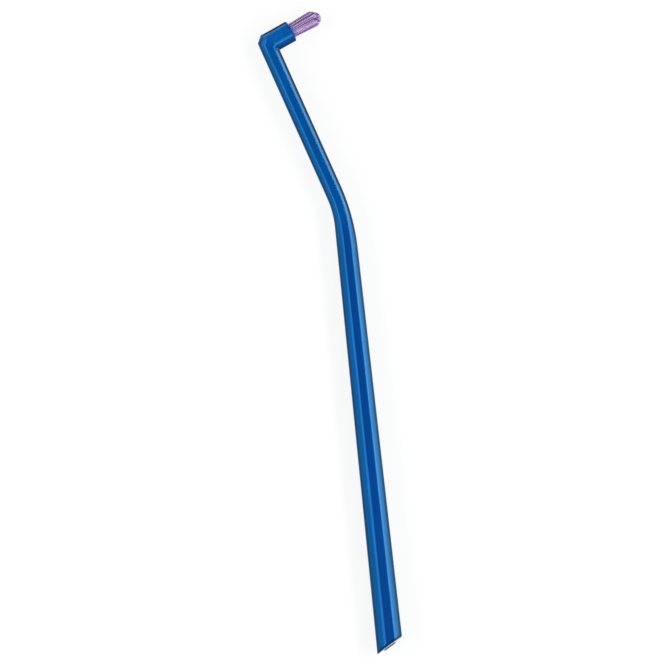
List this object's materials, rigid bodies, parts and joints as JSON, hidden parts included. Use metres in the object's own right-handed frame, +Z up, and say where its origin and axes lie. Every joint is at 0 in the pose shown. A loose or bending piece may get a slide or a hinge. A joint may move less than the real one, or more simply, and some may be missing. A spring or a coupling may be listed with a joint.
{
  "type": "single tuft toothbrush",
  "caption": "Slim bent toothbrush with an octagonal tapering grip, an obliquely cut butt and one pointed tuft in a round holder set across the neck.",
  "frame": {"origin": "under the middle of the brush's bounding box, on the surface that the brush lies on", "axes": "+Z up, across the brush's own plane; +Y along the grip from the butt to the head; +X to the side that the tuft points to"},
  "size_m": [0.022, 0.1772, 0.0073],
  "materials": {
    "blue_plastic": "glossy moulded plastic, deep blue, slightly see-through at its edges",
    "violet_filament": "satin nylon filaments, violet with paler ends",
    "brass_wire": "plain flat brass wire"
  },
  "bodies": {
    "root": {"handle": "blue_plastic", "tuft": "violet_filament", "anchor_staple": "brass_wire"}
  },
  "joints": []
}
